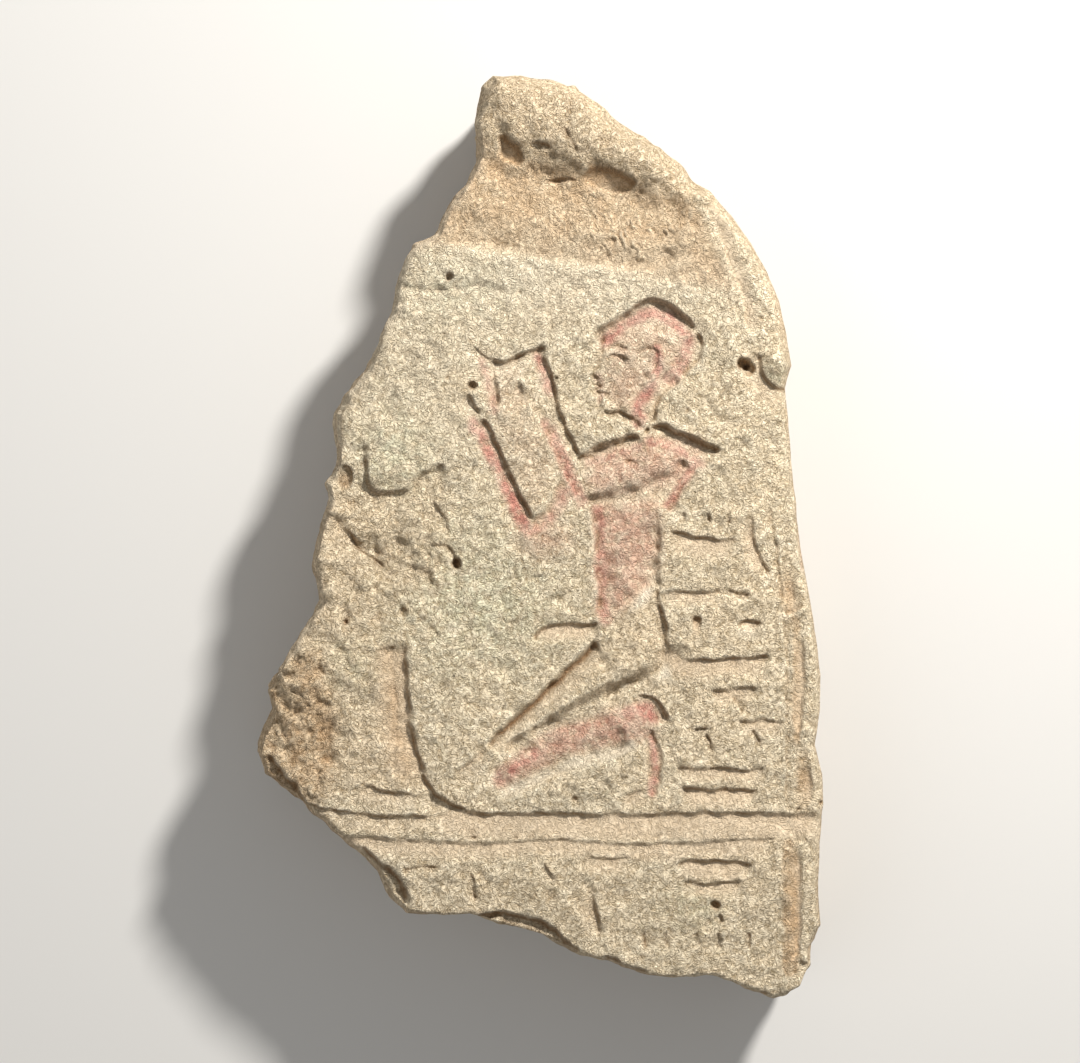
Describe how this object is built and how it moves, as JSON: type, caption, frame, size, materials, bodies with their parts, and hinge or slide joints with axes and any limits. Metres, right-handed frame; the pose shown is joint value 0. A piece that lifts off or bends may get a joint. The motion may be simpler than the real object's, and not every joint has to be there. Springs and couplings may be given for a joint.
{
  "type": "carved stone stele fragment",
  "caption": "Broken right-hand part of a round-topped limestone stele, lying on its back, with a kneeling worshipper in sunk relief above a ground line.",
  "frame": {"origin": "on the flat back the stone lies on, under the middle of the fragment's bounding box", "axes": "+Z out of the carved face, which looks up, +Y towards the top of the carving, +X towards the carving's right edge"},
  "size_m": [0.1972, 0.32, 0.0613],
  "materials": {
    "limestone": "weathered cream limestone, matt, with traces of red pigment"
  },
  "bodies": {
    "root": {"stele_fragment": "limestone"}
  },
  "joints": []
}
